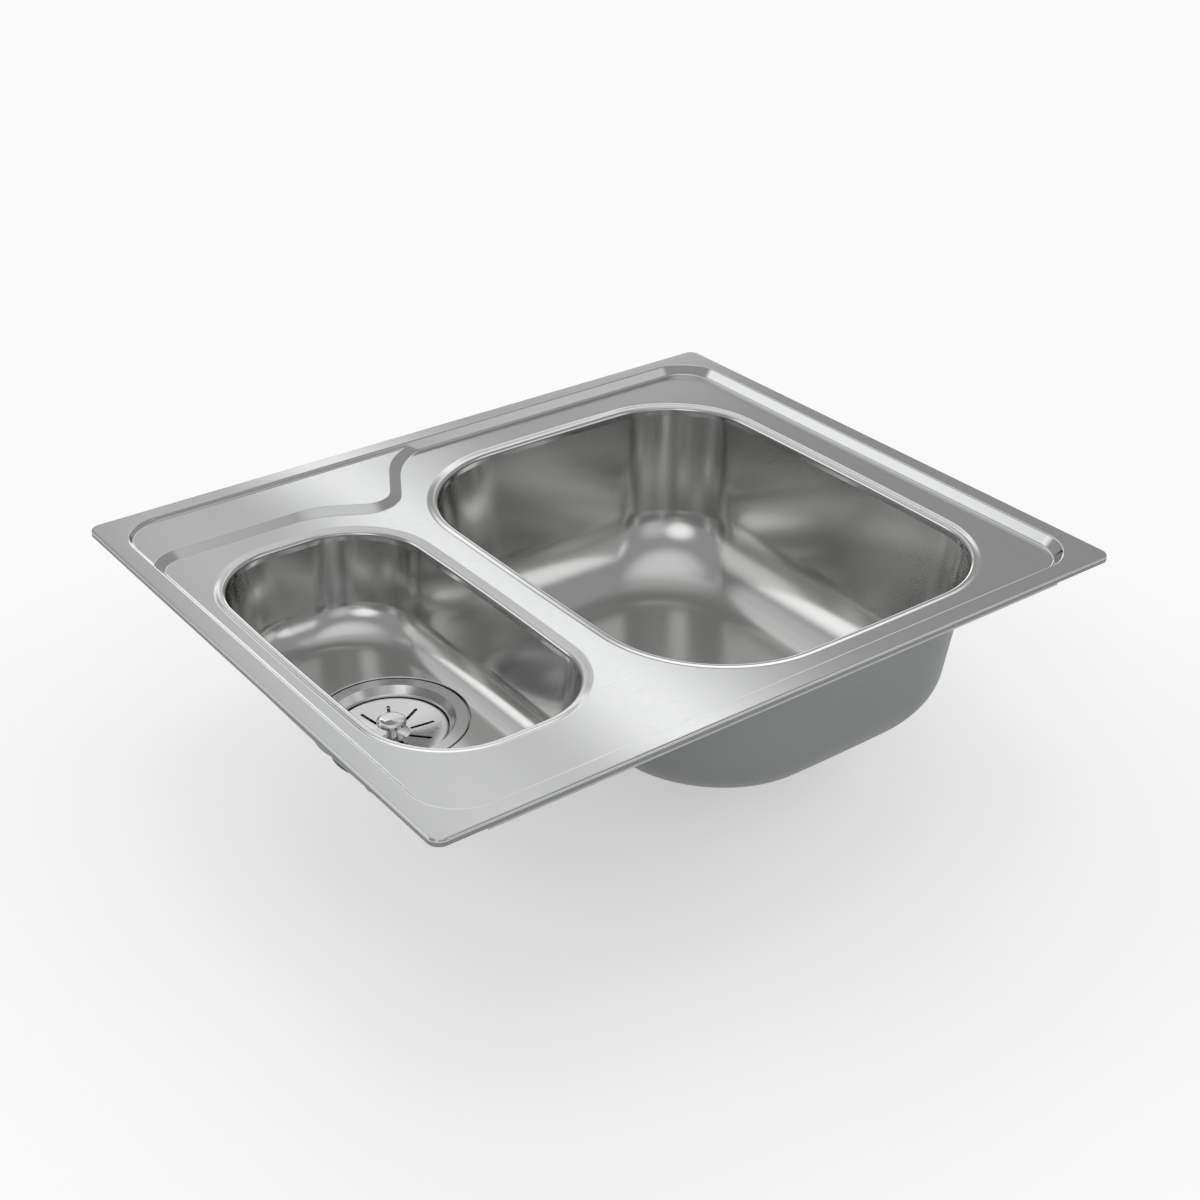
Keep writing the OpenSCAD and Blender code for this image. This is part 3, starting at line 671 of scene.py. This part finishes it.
# Colour, roughness, its spread, the grain's scale and relief, and the grain's stretch
STEELS = {
    "deck_steel": ((0.60, 0.605, 0.605), 0.12, 0.012, 900, 0.0, (0.15, 1, 1)),
    "bowl_steel": ((0.60, 0.605, 0.595), 0.17, 0.006, 700, 0.0, (1, 1, 0.1)),
    # The next steel's dark colour is painted shade: it stands in for the dark reflections on the
    # sheets' backs, bare edges and the rim's outer face.
    "painted_shade_steel": ((0.26, 0.265, 0.265), 0.45, 0.03, 350, 0.05, (1, 1, 1)),
    "rail_steel": ((0.45, 0.46, 0.47), 0.4, 0.08, 250, 0.2, (1, 1, 1)),
    "waste_steel": ((0.62, 0.62, 0.62), 0.22, 0.04, 500, 0.1, (1, 1, 1)),
    "strainer_steel": ((0.7, 0.7, 0.7), 0.1, 0.03, 400, 0.03, (1, 1, 1)),
    "knob_chrome": ((0.75, 0.75, 0.75), 0.1, 0.02, 400, 0.02, (1, 1, 1)),
    "screw_steel": ((0.65, 0.65, 0.66), 0.25, 0.05, 500, 0.1, (1, 1, 1)),
}

# Colour, roughness, and the speckle's scale and relief
RUBBERS = {
    "seal_rubber": ((0.02, 0.02, 0.021), 0.55, 600, 0.3),
    "foam": ((0.03, 0.03, 0.032), 0.9, 1800, 0.8),
    "sound_pad": ((0.06, 0.062, 0.065), 0.8, 350, 0.7),
    "waste_plastic": ((0.045, 0.048, 0.05), 0.38, 900, 0.15),
}


def steel(name, colour, roughness, spread, scale, relief, stretch):
    """Satin stainless steel: fine grain in its roughness and relief, and slow changes of tone."""
    mat = bpy.data.materials.new(name)
    mat.use_nodes = True
    tree = mat.node_tree
    shader = tree.nodes["Principled BSDF"]
    shader.inputs["Metallic"].default_value = 1.0
    place = tree.nodes.new("ShaderNodeTexCoord").outputs["Object"]
    mapping = tree.nodes.new("ShaderNodeMapping")
    mapping.inputs["Scale"].default_value = stretch
    tree.links.new(place, mapping.inputs["Vector"])
    grain = noise(tree, mapping.outputs["Vector"], scale, GRAIN_DETAIL)
    cloud = noise(tree, place, CLOUD_SCALE, CLOUD_DETAIL)
    rough = tree.nodes.new("ShaderNodeMapRange")
    rough.inputs["From Min"].default_value = GRAIN_LOW
    rough.inputs["From Max"].default_value = GRAIN_HIGH
    rough.inputs["To Min"].default_value = roughness - spread
    rough.inputs["To Max"].default_value = roughness + spread
    tree.links.new(grain, rough.inputs["Value"])
    tree.links.new(rough.outputs["Result"], shader.inputs["Roughness"])
    tint(tree, shader, cloud, colour, *CLOUD_TONES)
    dent(tree, shader, grain, relief, GRAIN_DEPTH)
    return mat


def rubber(name, colour, roughness, scale, relief):
    """Rubber, foam or plastic with a fine speckle in its tone and relief."""
    mat = bpy.data.materials.new(name)
    mat.use_nodes = True
    tree = mat.node_tree
    shader = tree.nodes["Principled BSDF"]
    shader.inputs["Roughness"].default_value = roughness
    place = tree.nodes.new("ShaderNodeTexCoord").outputs["Object"]
    speckle = noise(tree, place, scale, SPECKLE_DETAIL)
    tint(tree, shader, speckle, colour, *SPECKLE_TONES)
    dent(tree, shader, speckle, relief, SPECKLE_DEPTH)
    return mat


MATERIALS = {name: steel(name, *values) for name, values in STEELS.items()}
MATERIALS.update({name: rubber(name, *values) for name, values in RUBBERS.items()})


# Pieces

def dress_nodes():
    """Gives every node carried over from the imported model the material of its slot."""
    for part in frame["record"]["subparts"]:
        node = frame["nodes"][part["node"]]
        node.data.materials.clear()
        node.data.materials.append(MATERIALS[part["material_slot"]])


def paint_lip_shade(sheet):
    """Paints shade on the upright outer face of the rim by giving it the back's darker steel."""
    for face in sheet.data.polygons:
        place = np.array([[face.center.x, face.center.y]]) / MM
        shown_low = face.material_index == 0 and face.center.z < (RIM_H - LIP_R) * MM
        if shown_low and distance_in(place, RIM_BOX, [RIM_CORNER_R] * 4)[0] < LIP_SHADE_DEPTH:
            face.material_index = 1


def add_sheets():
    pressed = deck()
    pressed.data.materials.append(MATERIALS["deck_steel"])
    # Second material: darker steel with painted shade, for the back, the bare edges and the rim's outer
    # face.
    pressed.data.materials.append(MATERIALS["painted_shade_steel"])
    # Painted shade on the rim's upright outer face.
    paint_lip_shade(pressed)
    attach(pressed, "root")
    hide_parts("deck")
    for bowl in (MAIN, HALF):
        drawn = bowl_sheet(bowl)
        drawn.data.materials.append(MATERIALS["bowl_steel"])
        # Second material: darker steel with painted shade, for the back and the bare edges.
        drawn.data.materials.append(MATERIALS["painted_shade_steel"])
        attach(drawn, "root")
        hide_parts(bowl.name + "_bowl")


# Camera and floor, in metres

CAMERA_AT = (-0.753782, -1.023024, 0.679920)
CAMERA_FORWARD = (0.51774541, 0.69660108, -0.49667557)
SENSOR_WIDTH = 36
LENS = 56.7055
FLOOR_GAP = 0.002
FLOOR_SIZE = 40.0
FLOOR_WHITE = 0.85
FLOOR_ROUGHNESS = 0.9
FLOOR_GLOW = 0.45


def camera():
    """Camera at the photo's place and angle, fitted to the rim and the openings."""
    data = bpy.data.cameras.new("camera")
    data.sensor_width = SENSOR_WIDTH
    data.lens = LENS
    made = bpy.data.objects.new("camera", data)
    bpy.context.scene.collection.objects.link(made)
    made.location = CAMERA_AT
    made.rotation_mode = "QUATERNION"
    made.rotation_quaternion = Vector(CAMERA_FORWARD).to_track_quat("-Z", "Y")
    bpy.context.scene.camera = made


def floor():
    """Pale floor that looks white to the camera and in reflections, and keeps the sink's shadow."""
    h, z = FLOOR_SIZE / 2, cad_box[0].z - FLOOR_GAP
    mesh = bpy.data.meshes.new("floor")
    mesh.from_pydata([(-h, -h, z), (h, -h, z), (h, h, z), (-h, h, z)], [], [(0, 1, 2, 3)])
    made = bpy.data.objects.new("floor", mesh)
    bpy.context.scene.collection.objects.link(made)
    mat = bpy.data.materials.new("floor")
    mat.use_nodes = True
    tree = mat.node_tree
    shader = tree.nodes["Principled BSDF"]
    shader.inputs["Base Color"].default_value = (FLOOR_WHITE, FLOOR_WHITE, FLOOR_WHITE, 1)
    shader.inputs["Roughness"].default_value = FLOOR_ROUGHNESS
    shader.inputs["Emission Color"].default_value = (1, 1, 1, 1)
    rays = tree.nodes.new("ShaderNodeLightPath")
    seen = math_node(tree, "ADD", rays.outputs["Is Camera Ray"], rays.outputs["Is Glossy Ray"])
    seen = math_node(tree, "ADD", seen, rays.outputs["Is Transmission Ray"])
    glow = math_node(tree, "MULTIPLY", math_node(tree, "MINIMUM", seen, 1.0), FLOOR_GLOW)
    tree.links.new(glow, shader.inputs["Emission Strength"])
    made.data.materials.append(mat)


# Studio. Round lights: azimuth, elevation and half width, and strength.
SOFT_LIGHTS = [
    (134, 26, 19, 1.1),
    (105, 44, 16, 0.3),
    (215, 34, 20, 1.0),
    (308, 30, 19, 0.75),
    (0, 90, 30, 0.5),
    (55, 10, 15, 1.5),
    (67, 50, 24, 0.4),
    (250, 30, 20, 0.3),
]
LIGHT_CORE = 2

# Strips hang over the sink along Y: middle and half width as x / z, and strength.
# Their two ends are given as y / z, and the ceiling's half width as both.
STRIPS = [
    (0.6, 0.45, 0.09),
    (0.75, 0.05, 0.3),
    (0.96, 0.05, 1.3),
    (1.06, 0.05, 0.4),
]
STRIP_EDGE = 0.06
STRIP_START = 0.8
STRIP_STOP = 2.3
STRIP_END = 0.2
CEILING = 0.4
CEILING_EDGE = 2.0
CEILING_HALF = 9.0
LOWEST_SINE = 0.02


def rise(tree, value, start, end):
    """Smooth step from 0 at start to 1 at end."""
    node = tree.nodes.new("ShaderNodeMapRange")
    node.interpolation_type = "SMOOTHSTEP"
    node.inputs["From Min"].default_value = start
    node.inputs["From Max"].default_value = end
    tree.links.new(value, node.inputs["Value"])
    return node.outputs["Result"]


def window(tree, value, low, high, edge):
    """1 between low and high with soft edges, 0 outside."""
    start = rise(tree, value, low - edge, low + edge)
    return math_node(tree, "SUBTRACT", start, rise(tree, value, high - edge, high + edge))


def soft_light(tree, direction, azimuth, elevation, half_width, strength):
    """Round light that fades from its core to its edge."""
    a, e = math.radians(azimuth), math.radians(elevation)
    dot = tree.nodes.new("ShaderNodeVectorMath")
    dot.operation = "DOT_PRODUCT"
    tree.links.new(direction, dot.inputs[0])
    dot.inputs[1].default_value = (math.cos(e) * math.cos(a), math.cos(e) * math.sin(a), math.sin(e))
    edge, core = math.cos(math.radians(half_width)), math.cos(math.radians(LIGHT_CORE))
    return math_node(tree, "MULTIPLY", rise(tree, dot.outputs["Value"], edge, core), strength)


def world():
    """Soft studio of round lights, with strips and a wide ceiling over the sink."""
    made = bpy.data.worlds.new("studio")
    bpy.context.scene.world = made
    made.use_nodes = True
    tree = made.node_tree
    direction = tree.nodes.new("ShaderNodeTexCoord").outputs["Generated"]
    parts = tree.nodes.new("ShaderNodeSeparateXYZ")
    tree.links.new(direction, parts.inputs["Vector"])
    sine = parts.outputs["Z"]
    up = math_node(tree, "MAXIMUM", sine, LOWEST_SINE)
    q = math_node(tree, "DIVIDE", parts.outputs["X"], up)
    p = math_node(tree, "DIVIDE", parts.outputs["Y"], up)
    wide_q = window(tree, q, -CEILING_HALF, CEILING_HALF, CEILING_EDGE)
    wide_p = window(tree, p, -CEILING_HALF, CEILING_HALF, CEILING_EDGE)
    total = math_node(tree, "MULTIPLY", math_node(tree, "MULTIPLY", wide_q, wide_p), CEILING)
    span = window(tree, p, STRIP_START, STRIP_STOP, STRIP_END)
    for at, half, strength in STRIPS:
        strip = math_node(tree, "MULTIPLY", window(tree, q, at - half, at + half, STRIP_EDGE), span)
        total = math_node(tree, "ADD", total, math_node(tree, "MULTIPLY", strip, strength))
    above = math_node(tree, "GREATER_THAN", sine, LOWEST_SINE)
    total = math_node(tree, "MULTIPLY", total, above)
    for light in SOFT_LIGHTS:
        total = math_node(tree, "ADD", total, soft_light(tree, direction, *light))
    background = tree.nodes["Background"]
    background.inputs["Strength"].default_value = 1.0
    tree.links.new(total, background.inputs["Color"])


bpy.context.scene.view_settings.view_transform = "Standard"
dress_nodes()
add_sheets()
camera()
floor()
world()
